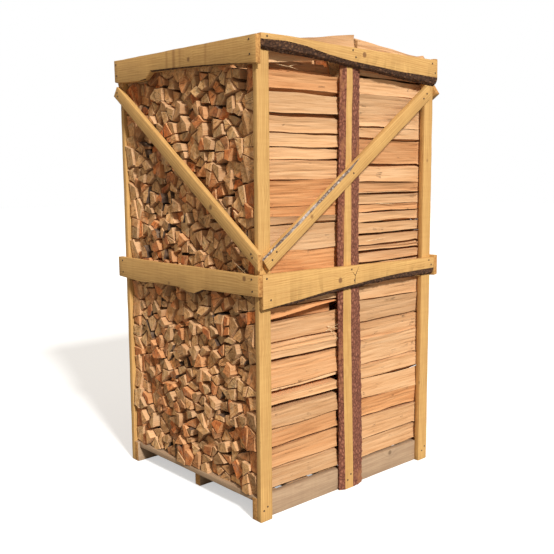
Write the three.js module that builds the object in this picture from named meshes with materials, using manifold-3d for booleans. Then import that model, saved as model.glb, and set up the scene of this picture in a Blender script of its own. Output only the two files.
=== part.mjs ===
// A pallet of split beech firewood: two rows of half-metre logs stacked in a tall crate of sawn spruce.
// Millimetres, +Z up. The origin is on the ground, in the middle of the crate.
// -Y is the front, where the log ends show. +X is the side where the logs lie lengthways.

import * as THREE from 'three';
import * as BufferGeometryUtils from 'three/addons/utils/BufferGeometryUtils.js';
import Module from 'manifold-3d';

const wasm = await Module();
wasm.setup();

// Crate, over the outer faces of its posts
const CRATE_WIDTH = 1078;
const CRATE_DEPTH = 1178;
const FIT_GAP = 0.4;

// Posts
const POST_THICKNESS = 27;
const POST_FACE = 67;
const POST_TOP = 2082;

// Base: planks on edge, with the deck between the two outer ones
const PLANK_THICKNESS = 33;
const PLANK_HEIGHT = 105;
const RUNNER_THICKNESS = 40;
const RUNNER_RECESS = 45;
const DECK_THICKNESS = 26;
const DECK_BOARD_WIDTH = 132;
const DECK_BOARDS = 6;
const DECK_SETBACK = 11;

// Rails and braces, all nailed to the outside of the posts
const BOARD_THICKNESS = 27;
const FRONT_BRACE_WIDTH = 57;
const SIDE_BRACE_WIDTH = 62;

// Log rows
const LOG_LENGTH = 512;
const LOG_END = 575;
const LOG_END_SCATTER = 11;
const LOG_END_SPAN = 33;
const LOG_PITCH = 112;
const COURSE_RISE = 99;
const SEED_SCATTER = 27;
const END_COLUMN_SCATTER = 0.3;
const COURSE_SCATTER = 0.8;
const STRAIGHT_COURSE_START = 0.5;
const SHIFTED_COURSE_START = 0.18;
const NEIGHBOUR_REACH = 4 * LOG_PITCH;
const SPLIT_SHARE = 0.42;
const SPLIT_FROM_AREA = 7000;
const SPLIT_OFFSET = 8;
const SIDE_SPLIT_TILT = 0.2;
const SIDE_SETBACK = 2;
const SIDE_UNEVENNESS = [3, 12];
const SIDE_LEAN = 0.12;
const RIDGE_SCATTER = 14;
const RIDGE_SHIFT = 20;
const RIDGE_SLOPES = [0.15, 0.75];
const CORNER_WELD = 1;

const HALF_WIDTH = CRATE_WIDTH / 2;
const HALF_DEPTH = CRATE_DEPTH / 2;
const INNER_HALF_WIDTH = HALF_WIDTH - POST_THICKNESS;
const DECK_UNDERSIDE = PLANK_HEIGHT - DECK_THICKNESS;
const STACK_HALF_WIDTH = INNER_HALF_WIDTH - SIDE_SETBACK;
const STACK_BOTTOM = PLANK_HEIGHT + FIT_GAP;

const SPRUCE = '#e6b76c';
const SPRUCE_SHADED = '#d9b27c';
const BARK_EDGED = '#b98a55';
const BEECH = '#cf9d66';

const crate = new THREE.Group();

function addPiece(name, geometry, colour) {
  const material = new THREE.MeshStandardMaterial({ color: colour, roughness: 0.85, metalness: 0 });
  const mesh = new THREE.Mesh(geometry, material);
  mesh.name = name;
  crate.add(mesh);
  return mesh;
}

// The far side of the crate has the same pieces as the near one, turned half round.
function addPair(nearName, farName, geometry, colour) {
  addPiece(nearName, geometry, colour);
  addPiece(farName, geometry, colour).rotation.z = Math.PI;
}

function boxBetween(low, high) {
  const size = high.map((value, axis) => value - low[axis]);
  const centre = high.map((value, axis) => (value + low[axis]) / 2);
  return new THREE.BoxGeometry(...size).translate(...centre);
}

// A solid through outlines of equal point counts, each anticlockwise seen from the last one.
function loft(outlines) {
  const count = outlines[0].length;
  const positions = outlines.flat().flatMap((point) => point.toArray());
  const triangles = [];
  for (let station = 0; station + 1 < outlines.length; station += 1) {
    for (let corner = 0; corner < count; corner += 1) {
      const here = station * count + corner;
      const next = station * count + (corner + 1) % count;
      triangles.push(here, next, next + count, here, next + count, here + count);
    }
  }
  const last = (outlines.length - 1) * count;
  for (let corner = 1; corner + 1 < count; corner += 1) {
    triangles.push(0, corner + 1, corner);
    triangles.push(last, last + corner, last + corner + 1);
  }
  const geometry = new THREE.BufferGeometry();
  geometry.setAttribute('position', new THREE.Float32BufferAttribute(positions, 3));
  geometry.setIndex(triangles);
  return geometry;
}

// Base

const runnerEnd = HALF_DEPTH - RUNNER_RECESS;
addPiece('runner_middle', boxBetween(
  [-RUNNER_THICKNESS / 2, -runnerEnd, 0],
  [RUNNER_THICKNESS / 2, runnerEnd, DECK_UNDERSIDE - FIT_GAP],
), SPRUCE_SHADED);
addPair('side_plank_right', 'side_plank_left', boxBetween(
  [INNER_HALF_WIDTH - PLANK_THICKNESS, -HALF_DEPTH, 0],
  [INNER_HALF_WIDTH - FIT_GAP, HALF_DEPTH, PLANK_HEIGHT],
), SPRUCE_SHADED);

const deckHalfLength = INNER_HALF_WIDTH - PLANK_THICKNESS - FIT_GAP;
const deckHalfDepth = HALF_DEPTH - DECK_SETBACK;
const deckStep = (2 * deckHalfDepth - DECK_BOARD_WIDTH) / (DECK_BOARDS - 1);
for (let board = 0; board < DECK_BOARDS; board += 1) {
  const front = -deckHalfDepth + board * deckStep;
  addPiece(`deck_board_${board + 1}`, boxBetween(
    [-deckHalfLength, front, DECK_UNDERSIDE],
    [deckHalfLength, front + DECK_BOARD_WIDTH, PLANK_HEIGHT],
  ), SPRUCE_SHADED);
}

// Posts

const cornerPost = (yLow) => boxBetween(
  [INNER_HALF_WIDTH, yLow, 0],
  [HALF_WIDTH, yLow + POST_FACE, POST_TOP],
);
addPair('post_right_front', 'post_left_back', cornerPost(-HALF_DEPTH), SPRUCE);
addPair('post_right_back', 'post_left_front', cornerPost(HALF_DEPTH - POST_FACE), SPRUCE);

// The middle post is a slab with bark down both edges: wide against the logs, narrow on its sawn face.
// Each height gives the sawn face from and to, then the back from and to, along Y.
const SLAB_STATIONS = [
  [0, -46, 10, -70, 98],
  [220, -52, 4, -70, 95],
  [450, -60, -3, -72, 90],
  [790, -68, -13, -78, 77],
  [1040, -68, -16, -84, 68],
  [1270, -64, -18, -86, 60],
  [1640, -55, -17, -77, 62],
  [POST_TOP, -50, -10, -72, 60],
];
const SLAB_BULGE = 6;
const SLAB_BULGE_DEPTHS = [0.4, 0.35];
const SLAB_SHOULDER_DEPTH = 0.8;
function slabOutline([height, faceFrom, faceTo, backFrom, backTo]) {
  const depth = (share) => INNER_HALF_WIDTH + share * POST_THICKNESS;
  return [
    new THREE.Vector3(depth(0), backFrom, height),
    new THREE.Vector3(depth(SLAB_BULGE_DEPTHS[0]), backFrom - SLAB_BULGE, height),
    new THREE.Vector3(depth(1), faceFrom, height),
    new THREE.Vector3(depth(1), faceTo, height),
    new THREE.Vector3(depth(SLAB_SHOULDER_DEPTH), (faceTo + backTo) / 2, height),
    new THREE.Vector3(depth(SLAB_BULGE_DEPTHS[1]), backTo - SLAB_BULGE, height),
    new THREE.Vector3(depth(0), backTo, height),
  ];
}
const slab = loft(SLAB_STATIONS.map(slabOutline));
addPair('post_right_middle', 'post_left_middle', slab, BARK_EDGED);

// Rails and braces are drawn flat: along the board, up, and out from the posts.
const sidePlane = new THREE.Matrix4().makeBasis(
  new THREE.Vector3(0, 1, 0), new THREE.Vector3(0, 0, 1), new THREE.Vector3(1, 0, 0),
).setPosition(HALF_WIDTH + FIT_GAP, 0, 0);
const frontPlane = new THREE.Matrix4().makeBasis(
  new THREE.Vector3(1, 0, 0), new THREE.Vector3(0, 0, 1), new THREE.Vector3(0, -1, 0),
).setPosition(0, -HALF_DEPTH - FIT_GAP, 0);

// A sawn board with one waney edge. Each station is its place along the board, its straight edge,
// the edge of its sawn face and the edge of its back, with the round of the tree between those two.
const BELLY_RISE = 0.3;
const BELLY_DEPTH = 0.62 * BOARD_THICKNESS;
function waneyBoard(stations) {
  const outline = ([place, straight, face, back]) => {
    const belly = back + BELLY_RISE * (face - back);
    return [
      new THREE.Vector3(place, back, 0),
      new THREE.Vector3(place, straight, 0),
      new THREE.Vector3(place, straight, BOARD_THICKNESS),
      new THREE.Vector3(place, face, BOARD_THICKNESS),
      new THREE.Vector3(place, belly, BELLY_DEPTH),
    ];
  };
  return loft(stations.map(outline));
}

const sideEnd = HALF_DEPTH - FIT_GAP;
const cornerReach = HALF_WIDTH + FIT_GAP + BOARD_THICKNESS;

const TOP_RAIL_SIDE = [
  [-sideEnd, 2104, 2080, 2044],
  [-440, 2106, 2084, 2036],
  [-330, 2105, 2075, 2034],
  [-190, 2099, 2052, 2026],
  [-46, 2098, 2037, 2013],
  [120, 2097, 2028, 2004],
  [292, 2096, 2017, 1989],
  [440, 2095, 2014, 1978],
  [sideEnd, 2094, 2009, 1968],
];
const MIDDLE_RAIL_SIDE = [
  [-sideEnd, 1112, 962, 956],
  [-374, 1110, 983, 963],
  [-210, 1107, 1001, 980],
  [-45, 1104, 1014, 992],
  [130, 1102, 1028, 1002],
  [313, 1099, 1038, 1006],
  [sideEnd, 1096, 1043, 1004],
];
const TOP_RAIL_FRONT = [
  [-545, 2106, 2000, 1997],
  [-430, 2105, 1992, 1989],
  [-310, 2104, 1988, 1985],
  [-262, 2103, 1993, 1989],
  [-215, 2103, 2027, 2018],
  [-20, 2101, 2020, 2012],
  [190, 2100, 2010, 2004],
  [400, 2098, 1996, 1992],
  [cornerReach, 2097, 1983, 1980],
];
const MIDDLE_RAIL_FRONT = [
  [-566, 1107, 1006, 1003],
  [-364, 1107, 994, 991],
  [-200, 1106, 1002, 999],
  [-20, 1107, 1004, 1001],
  [50, 1108, 988, 984],
  [104, 1108, 986, 982],
  [180, 1108, 1012, 1008],
  [cornerReach, 1109, 1020, 1017],
];
const rails = [
  ['top_rail', sidePlane, TOP_RAIL_SIDE, 'right', 'left'],
  ['middle_rail', sidePlane, MIDDLE_RAIL_SIDE, 'right', 'left'],
  ['top_rail', frontPlane, TOP_RAIL_FRONT, 'front', 'back'],
  ['middle_rail', frontPlane, MIDDLE_RAIL_FRONT, 'front', 'back'],
];
for (const [name, plane, stations, near, far] of rails) {
  addPair(`${name}_${near}`, `${name}_${far}`, waneyBoard(stations).applyMatrix4(plane), SPRUCE);
}

// The front brace falls to the right, and its low end is cut plumb with the corner.
const FRONT_BRACE_HIGH = new THREE.Vector2(-545, 1955);
const FRONT_BRACE_LOW = new THREE.Vector2(cornerReach, 1164);
function frontBrace() {
  const run = FRONT_BRACE_LOW.clone().sub(FRONT_BRACE_HIGH).normalize();
  const across = new THREE.Vector2(-run.y, run.x).multiplyScalar(FRONT_BRACE_WIDTH / 2);
  const plumb = FRONT_BRACE_WIDTH / 2 / run.x;
  const outline = new THREE.Shape([
    FRONT_BRACE_HIGH.clone().sub(across),
    FRONT_BRACE_LOW.clone().add(new THREE.Vector2(0, -plumb)),
    FRONT_BRACE_LOW.clone().add(new THREE.Vector2(0, plumb)),
    FRONT_BRACE_HIGH.clone().add(across),
  ]);
  return new THREE.ExtrudeGeometry(outline, { depth: BOARD_THICKNESS, bevelEnabled: false });
}
addPair('brace_front', 'brace_back', frontBrace().applyMatrix4(frontPlane), SPRUCE);

// The side brace climbs to the back. Its upper edge is waney in the low half, so it is drawn upside down.
const SIDE_BRACE_LOW = new THREE.Vector2(-571, 1152);
const SIDE_BRACE_HIGH = new THREE.Vector2(533, 1941);
const SIDE_BRACE_WANE = 13;
const SIDE_BRACE_WANE_END = 0.55;
const SIDE_BRACE_WANE_FULL = 0.2;
const SIDE_BRACE_WANE_FADE = 90;
function sideBrace() {
  const run = SIDE_BRACE_HIGH.clone().sub(SIDE_BRACE_LOW);
  const half = SIDE_BRACE_WIDTH / 2;
  const length = run.length();
  const waneEnd = SIDE_BRACE_WANE_END * length;
  const stations = [
    [-length, half, -half, -half - 1],
    [-waneEnd, half, -half, -half - 1],
    [-waneEnd + SIDE_BRACE_WANE_FADE, half, SIDE_BRACE_WANE - half, -half],
    [-SIDE_BRACE_WANE_FULL * length, half, SIDE_BRACE_WANE - half, -half],
    [0, half, SIDE_BRACE_WANE / 2 - half, -half],
  ];
  const board = waneyBoard(stations);
  board.rotateZ(Math.PI + run.angle());
  return board.translate(SIDE_BRACE_LOW.x, SIDE_BRACE_LOW.y, 0);
}
addPair('brace_right', 'brace_left', sideBrace().applyMatrix4(sidePlane), SPRUCE);

// Log rows

// A small seeded generator, so that every build stacks the same logs.
function seededRandom(seed) {
  const range = 2 ** 32;
  const factor = 1664525;
  const increment = 1013904223;
  let state = seed;
  return (low, high) => {
    state = (state * factor + increment) % range;
    return low + (high - low) * state / range;
  };
}

// Keeps the part of a polygon that lies behind a line, given by a point on it and its normal.
function trimmed(polygon, point, normal) {
  const height = (corner) => corner.clone().sub(point).dot(normal);
  const kept = [];
  polygon.forEach((corner, index) => {
    const next = polygon[(index + 1) % polygon.length];
    const here = height(corner);
    const there = height(next);
    if (here <= 0) {
      kept.push(corner);
    }
    if (here * there < 0) {
      kept.push(corner.clone().lerp(next, here / (here - there)));
    }
  });
  return kept;
}

function areaOf(polygon) {
  return THREE.ShapeUtils.area(polygon);
}

function centreOf(polygon) {
  const sum = polygon.reduce((total, corner) => total.add(corner), new THREE.Vector2());
  return sum.divideScalar(polygon.length);
}

// Log centres lie in courses, each shifted by half a log, and scattered.
function logCentres(courses, random) {
  const centres = [];
  for (let course = 0; course < courses; course += 1) {
    const shifted = course % 2 === 1;
    const columns = Math.floor(2 * STACK_HALF_WIDTH / LOG_PITCH) + (shifted ? 1 : 0);
    const startShare = shifted ? SHIFTED_COURSE_START : STRAIGHT_COURSE_START;
    const start = -STACK_HALF_WIDTH + startShare * LOG_PITCH;
    const step = -2 * start / (columns - 1);
    for (let column = 0; column < columns; column += 1) {
      const sideways = SEED_SCATTER * (column % (columns - 1) ? 1 : END_COLUMN_SCATTER);
      const upward = SEED_SCATTER * COURSE_SCATTER;
      centres.push(new THREE.Vector2(
        start + column * step + random(-sideways, sideways),
        STACK_BOTTOM + (course + 0.5) * COURSE_RISE + random(-upward, upward),
      ));
    }
  }
  return centres;
}

// The space that each log fills reaches halfway to its neighbours.
function logSpace(centre, centres, ceiling) {
  let space = [
    new THREE.Vector2(-STACK_HALF_WIDTH, STACK_BOTTOM),
    new THREE.Vector2(STACK_HALF_WIDTH, STACK_BOTTOM),
    new THREE.Vector2(STACK_HALF_WIDTH, ceiling),
    new THREE.Vector2(-STACK_HALF_WIDTH, ceiling),
  ];
  for (const other of centres) {
    const apart = other.clone().sub(centre);
    if (other !== centre && apart.length() < NEIGHBOUR_REACH) {
      space = trimmed(space, centre.clone().lerp(other, 0.5), apart);
    }
  }
  return space;
}

// A share of the logs are split once more: level ones at the sides of the stack, any way inside it.
function splitLog(space, random) {
  const atSide = space.some((corner) => Math.abs(corner.x) > STACK_HALF_WIDTH - 1);
  const turn = atSide ? random(-SIDE_SPLIT_TILT, SIDE_SPLIT_TILT) : random(0, Math.PI);
  const across = new THREE.Vector2(-Math.sin(turn), Math.cos(turn));
  const offset = () => random(-SPLIT_OFFSET, SPLIT_OFFSET);
  const point = centreOf(space).add(new THREE.Vector2(offset(), offset()));
  return [trimmed(space, point, across), trimmed(space, point, across.clone().negate())];
}

// The logs along the sides of the stack stand back a little, each by its own amount and lean.
function unevenSide(space, random) {
  let result = space;
  for (const side of [-1, 1]) {
    if (space.some((corner) => side * corner.x > STACK_HALF_WIDTH - 1)) {
      const lean = random(-SIDE_LEAN, SIDE_LEAN);
      const reach = STACK_HALF_WIDTH - random(...SIDE_UNEVENNESS);
      const point = new THREE.Vector2(side * reach, centreOf(space).y);
      result = trimmed(result, point, new THREE.Vector2(side * Math.cos(lean), Math.sin(lean)));
    }
  }
  return result;
}

// The top logs end in a ridge, at a height of their own.
function ridgedTop(space, ridge, random) {
  const peak = new THREE.Vector2(centreOf(space).x + random(-RIDGE_SHIFT, RIDGE_SHIFT), ridge);
  const left = random(...RIDGE_SLOPES);
  const right = random(...RIDGE_SLOPES);
  const once = trimmed(space, peak, new THREE.Vector2(-Math.sin(left), Math.cos(left)));
  return trimmed(once, peak, new THREE.Vector2(Math.sin(right), Math.cos(right)));
}

// Neighbouring logs share their corners: near ones become one, and a corner along another log's edge
// becomes a corner of that edge too.
function joinCorners(spaces) {
  const corners = [];
  const shared = (corner) => {
    const near = corners.find((other) => other.distanceTo(corner) < CORNER_WELD);
    if (!near) {
      corners.push(corner);
    }
    return near ?? corner;
  };
  const distinct = (corner, index, all) => corner !== all[(index + 1) % all.length];
  const welded = spaces.map((space) => space.map(shared).filter(distinct));
  return welded.map((space) => space.flatMap((corner, index) => {
    const run = space[(index + 1) % space.length].clone().sub(corner);
    const length = run.length();
    const between = corners
      .filter((point) => !space.includes(point))
      .map((point) => ({ point, offset: point.clone().sub(corner) }))
      .filter(({ offset }) => Math.abs(offset.cross(run)) < CORNER_WELD * length)
      .map(({ point, offset }) => ({ point, along: offset.dot(run) / length }))
      .filter(({ along }) => along > 0 && along < length)
      .sort((one, two) => one.along - two.along);
    return [corner, ...between.map(({ point }) => point)];
  }));
}

function logPrism(space, outerEnd) {
  const innerEnd = LOG_LENGTH - LOG_END;
  const outline = new THREE.Shape(space);
  const prism = new THREE.ExtrudeGeometry(outline, { depth: innerEnd - outerEnd, bevelEnabled: false });
  return prism.rotateX(Math.PI / 2).translate(0, innerEnd, 0);
}

function toSolid(geometry) {
  const bare = geometry.clone();
  bare.deleteAttribute('normal');
  bare.deleteAttribute('uv');
  const merged = BufferGeometryUtils.mergeVertices(bare);
  return new wasm.Manifold(new wasm.Mesh({
    numProp: 3,
    vertProperties: merged.attributes.position.array,
    triVerts: Uint32Array.from(merged.index.array),
  }));
}

function toGeometry(solid) {
  const mesh = solid.getMesh();
  const geometry = new THREE.BufferGeometry();
  geometry.setAttribute('position', new THREE.BufferAttribute(mesh.vertProperties, 3));
  geometry.setIndex(new THREE.BufferAttribute(mesh.triVerts, 1));
  return geometry;
}

function shrunk(space, gap) {
  return space.reduce((result, corner, index) => {
    const run = space[(index + 1) % space.length].clone().sub(corner).normalize();
    const outward = new THREE.Vector2(run.y, -run.x);
    return trimmed(result, corner.clone().addScaledVector(outward, -gap), outward);
  }, space);
}

// The logs that meet at a corner, in turn around it, with an open place where the stack ends.
const OPEN = -1;
const SAME_ANGLE = 1e-6;
function ringAround(corner, spaces) {
  const wedges = spaces
    .map((space, log) => ({ space, log, place: space.indexOf(corner) }))
    .filter(({ place }) => place >= 0)
    .map(({ space, log, place }) => ({
      log,
      from: space[(place + 1) % space.length].clone().sub(corner).angle(),
      to: space.at(place - 1).clone().sub(corner).angle(),
    }))
    .sort((one, two) => one.from - two.from);
  return wedges.flatMap(({ log, to }, index) => {
    const next = wedges[(index + 1) % wedges.length];
    return Math.abs(to - next.from) < SAME_ANGLE ? [log] : [log, OPEN];
  });
}

// True where the ends around a corner rise more than once, so that two logs would touch along a line only.
function isPinched(ring, ends) {
  const depths = ring.map((log) => (log === OPEN ? Infinity : ends[log]));
  return depths.some((level) => {
    const isRise = (depth, index) => depth <= level && depths[(index + 1) % depths.length] > level;
    return depths.filter(isRise).length > 1;
  });
}

// Each log's end lies at a depth of its own, no two alike, in an order shuffled until no corner is pinched.
function scatteredEnds(spaces, random) {
  const count = spaces.length;
  const ends = spaces.map((_, index) => (
    -LOG_END - LOG_END_SCATTER + LOG_END_SPAN * index / count
  ));
  const swap = (log) => {
    const other = Math.floor(random(0, count));
    [ends[log], ends[other]] = [ends[other], ends[log]];
  };
  spaces.forEach((_, index) => swap(index));
  const rings = [...new Set(spaces.flat())].map((corner) => ringAround(corner, spaces));
  let pinched = rings;
  while (pinched.length) {
    pinched = rings.filter((ring) => isPinched(ring, ends));
    pinched.forEach((ring) => swap(ring[0]));
  }
  return ends;
}

// One row of logs, drawn as the front row. Its top logs lie loose on the rest, which fill the crate
// so closely that they are one stepped block here, each with its end at its own depth.
function addLogRow(name, seed, turn, courses, ridges) {
  const random = seededRandom(seed);
  const ceiling = STACK_BOTTOM + (courses + 2) * COURSE_RISE;
  const centres = logCentres(courses, random);
  const stacked = [];
  const loose = [];
  for (const centre of centres) {
    const space = logSpace(centre, centres, ceiling);
    const ridge = ridges(turn * centre.x) + random(-RIDGE_SCATTER, RIDGE_SCATTER);
    if (space.some((corner) => corner.y > ridge)) {
      loose.push(unevenSide(ridgedTop(space, ridge, random), random));
    } else if (random(0, 1) < SPLIT_SHARE && areaOf(space) > SPLIT_FROM_AREA) {
      stacked.push(...splitLog(space, random).map((half) => unevenSide(half, random)));
    } else {
      stacked.push(unevenSide(space, random));
    }
  }
  const spaces = joinCorners([...stacked, ...loose]);
  const blockSpaces = spaces.slice(0, stacked.length);
  const ends = scatteredEnds(blockSpaces, random);
  const block = blockSpaces
    .map((space, index) => toSolid(logPrism(space, ends[index])))
    .reduce((whole, log) => whole.add(log));
  const turned = turn < 0 ? Math.PI : 0;
  addPiece(`log_row_${name}`, toGeometry(block), BEECH).rotation.z = turned;
  spaces.slice(stacked.length).forEach((space, index) => {
    const log = logPrism(shrunk(space, FIT_GAP), -LOG_END + random(0, LOG_END_SCATTER));
    addPiece(`top_log_${name}_${index + 1}`, log, BEECH).rotation.z = turned;
  });
}

// The front row ends just under the rail, lower at its right end, and the back row is heaped.
const FRONT_RIDGE = 2085;
const FRONT_RIDGE_RIGHT = 2045;
const BACK_RIDGE = 2110;
const BACK_RIDGE_RIGHT = 2126;
const RIGHT_END_FROM = 0.6 * STACK_HALF_WIDTH;
const COURSES = 20;
const FRONT_SEED = 20;
const BACK_SEED = 77;
const ridgeLine = (ridge, rightRidge) => (x) => (x > RIGHT_END_FROM ? rightRidge : ridge);
addLogRow('front', FRONT_SEED, 1, COURSES, ridgeLine(FRONT_RIDGE, FRONT_RIDGE_RIGHT));
addLogRow('back', BACK_SEED, -1, COURSES, ridgeLine(BACK_RIDGE, BACK_RIDGE_RIGHT));

// One wedge lies loose above the front row's right end. It is thickest at its back end, which shows over
// the side rail.
const WEDGE_BOTTOM = 2064;
const WEDGE_BACK_END = 55;
const WEDGE_LEFT = 420;
const WEDGE_RIGHT = 494;
const WEDGE_FRONT_TOPS = [2090, 2097];
const WEDGE_BACK_TOPS = [2152, 2176];
const wedgeOutline = (y, [leftTop, rightTop]) => [
  new THREE.Vector3(WEDGE_LEFT, y, WEDGE_BOTTOM),
  new THREE.Vector3(WEDGE_LEFT, y, leftTop),
  new THREE.Vector3(WEDGE_RIGHT, y, rightTop),
  new THREE.Vector3(WEDGE_RIGHT, y, WEDGE_BOTTOM),
];
const wedge = loft([
  wedgeOutline(WEDGE_BACK_END - LOG_LENGTH, WEDGE_FRONT_TOPS),
  wedgeOutline(WEDGE_BACK_END, WEDGE_BACK_TOPS),
]);
addPiece('top_log_loose', wedge, BEECH);

export default crate;
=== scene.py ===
# %% [markdown]
# # A pallet of split beech firewood
# Two rows of half-metre beech logs fill a tall crate of rough spruce boards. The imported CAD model
# gives every board its true size and every log its place. Here the boards get saw marks, bark and
# worn edges, and the two plain log blocks give way to more than a thousand separate split logs.
#
# Lengths are metres, +Z is up, the log ends face -Y, and the log sides show on +X.

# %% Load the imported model
import math

import bpy
import numpy as np
from mathutils import Matrix, Vector


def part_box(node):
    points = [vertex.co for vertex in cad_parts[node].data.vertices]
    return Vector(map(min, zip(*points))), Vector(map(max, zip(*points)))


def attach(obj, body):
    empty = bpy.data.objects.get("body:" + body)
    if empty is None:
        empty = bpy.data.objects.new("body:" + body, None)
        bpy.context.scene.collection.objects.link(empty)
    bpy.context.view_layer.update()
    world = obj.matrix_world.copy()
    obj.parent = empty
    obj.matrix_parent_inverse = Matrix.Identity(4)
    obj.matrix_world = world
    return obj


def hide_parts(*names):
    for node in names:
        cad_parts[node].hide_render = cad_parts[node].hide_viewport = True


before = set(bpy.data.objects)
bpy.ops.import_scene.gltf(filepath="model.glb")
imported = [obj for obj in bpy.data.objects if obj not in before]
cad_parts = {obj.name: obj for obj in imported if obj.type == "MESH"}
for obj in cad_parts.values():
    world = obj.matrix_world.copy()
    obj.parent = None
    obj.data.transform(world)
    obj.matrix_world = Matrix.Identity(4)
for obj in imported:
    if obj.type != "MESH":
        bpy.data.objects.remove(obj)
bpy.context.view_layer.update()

# %% [markdown]
# ## The camera
# The crate's straight edges in the photo fix where the camera stood: at eye height, off the
# right front corner, looking slightly down. A camera matrix is three directions and a place, so
# the solved angles can be written straight into it.

# %% Place the camera
CAMERA_PLACE = Vector((3.0339, -2.7104, 1.5428))
CAMERA_AZIMUTH, CAMERA_PITCH, CAMERA_ROLL = (math.radians(a) for a in (48.27, 7.685, -0.417))
CAMERA_LENS = 50.59

camera = bpy.data.objects.new("camera", bpy.data.cameras.new("camera"))
bpy.context.scene.collection.objects.link(camera)
camera.data.sensor_width = 36
camera.data.lens = CAMERA_LENS
back = Vector((math.sin(CAMERA_AZIMUTH) * math.cos(CAMERA_PITCH),
               -math.cos(CAMERA_AZIMUTH) * math.cos(CAMERA_PITCH),
               math.sin(CAMERA_PITCH)))
level = Vector((math.cos(CAMERA_AZIMUTH), math.sin(CAMERA_AZIMUTH), 0))
upright = back.cross(level)
right = math.cos(CAMERA_ROLL) * level + math.sin(CAMERA_ROLL) * upright
up = math.cos(CAMERA_ROLL) * upright - math.sin(CAMERA_ROLL) * level
camera.matrix_world = Matrix((right, up, back)).transposed().to_4x4()
camera.location = CAMERA_PLACE
bpy.context.scene.camera = camera
print("camera at", tuple(round(value, 2) for value in camera.location))

# %% [markdown]
# ## Colours and material nodes
# Every colour is written as the sRGB hex value that the eye sees, and turned into the linear
# values that shaders count in. One helper adds any node: sockets are given by name or number,
# as a value or as another node's output, and properties by keyword.

# %% Helpers for materials
def linear(colour):
    """An sRGB hex colour as linear RGBA."""
    channels = [int(colour[place:place + 2], 16) / 255 for place in (1, 3, 5)]
    return [c / 12.92 if c <= 0.04045 else ((c + 0.055) / 1.055) ** 2.4 for c in channels] + [1]


def add(tree, kind, sockets=None, stops=None, **settings):
    """Adds a node to a tree, with its sockets set or linked, its colour stops and its settings."""
    node = tree.nodes.new("ShaderNode" + kind)
    for name, value in settings.items():
        setattr(node, name, value)
    for key, value in (sockets or {}).items():
        if isinstance(value, bpy.types.NodeSocket):
            tree.links.new(value, node.inputs[key])
        else:
            node.inputs[key].default_value = value
    for number, (place, colour) in enumerate(stops or []):
        ramp = node.color_ramp.elements
        stop = ramp[number] if number < 2 else ramp.new(place)
        stop.position, stop.color = place, linear(colour)
    return node


def mix(tree, share, one, two, blend="MIX"):
    """The output of a colour mix between two colours or outputs."""
    return add(tree, "Mix", {0: share, 6: one, 7: two}, data_type="RGBA", blend_type=blend).outputs[2]


def noise(tree, place, scale, detail=3, stretch=None, rough=0.55):
    """A noise value over a place in metres, `scale` blotches to the metre, stretched by axis."""
    if stretch:
        place = add(tree, "VectorMath", {0: place, 1: stretch}, operation="MULTIPLY").outputs[0]
    return add(tree, "TexNoise", {"Vector": place, "Scale": scale, "Detail": detail,
                                  "Roughness": rough}).outputs[0]


def sums(tree, one, two, operation="ADD"):
    """The output of one sum of two values or outputs."""
    return add(tree, "Math", {0: one, 1: two}, operation=operation).outputs[0]


def new_material(name):
    """An empty material with its shader, and the place in the wood that its pieces carry."""
    material = bpy.data.materials.new(name)
    material.use_nodes = True
    tree = material.node_tree
    grain = add(tree, "Attribute", attribute_name="grain_place").outputs["Vector"]
    return material, tree, tree.nodes["Principled BSDF"], grain


def surface(tree, shader, colour, roughness, height, depth):
    """Gives a shader its colour, its roughness and a bump of a height value, in metres."""
    tree.links.new(colour, shader.inputs["Base Color"])
    shader.inputs["Roughness"].default_value = roughness
    bump = add(tree, "Bump", {"Strength": 1, "Distance": depth, "Height": height})
    tree.links.new(bump.outputs[0], shader.inputs["Normal"])


# %% [markdown]
# ## Beech, split and sawn
# Wood is a solid pattern: growth rings around the pith and fibres along the log. Each log carries
# its own place in the tree, first along the fibre, then across from the pith, so the same point
# gives rings on its sawn end and streaks on its split sides. A second attribute holds the log's
# tone, how red it is and a number of its own: fresh beech is pale, and it reddens as it dries.

# %% Beech materials
def log_colour(tree):
    """The tone, redness and own number of the log, as three outputs."""
    colour = add(tree, "Attribute", attribute_name="log_colour").outputs["Color"]
    return add(tree, "SeparateColor", {0: colour}).outputs


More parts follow.
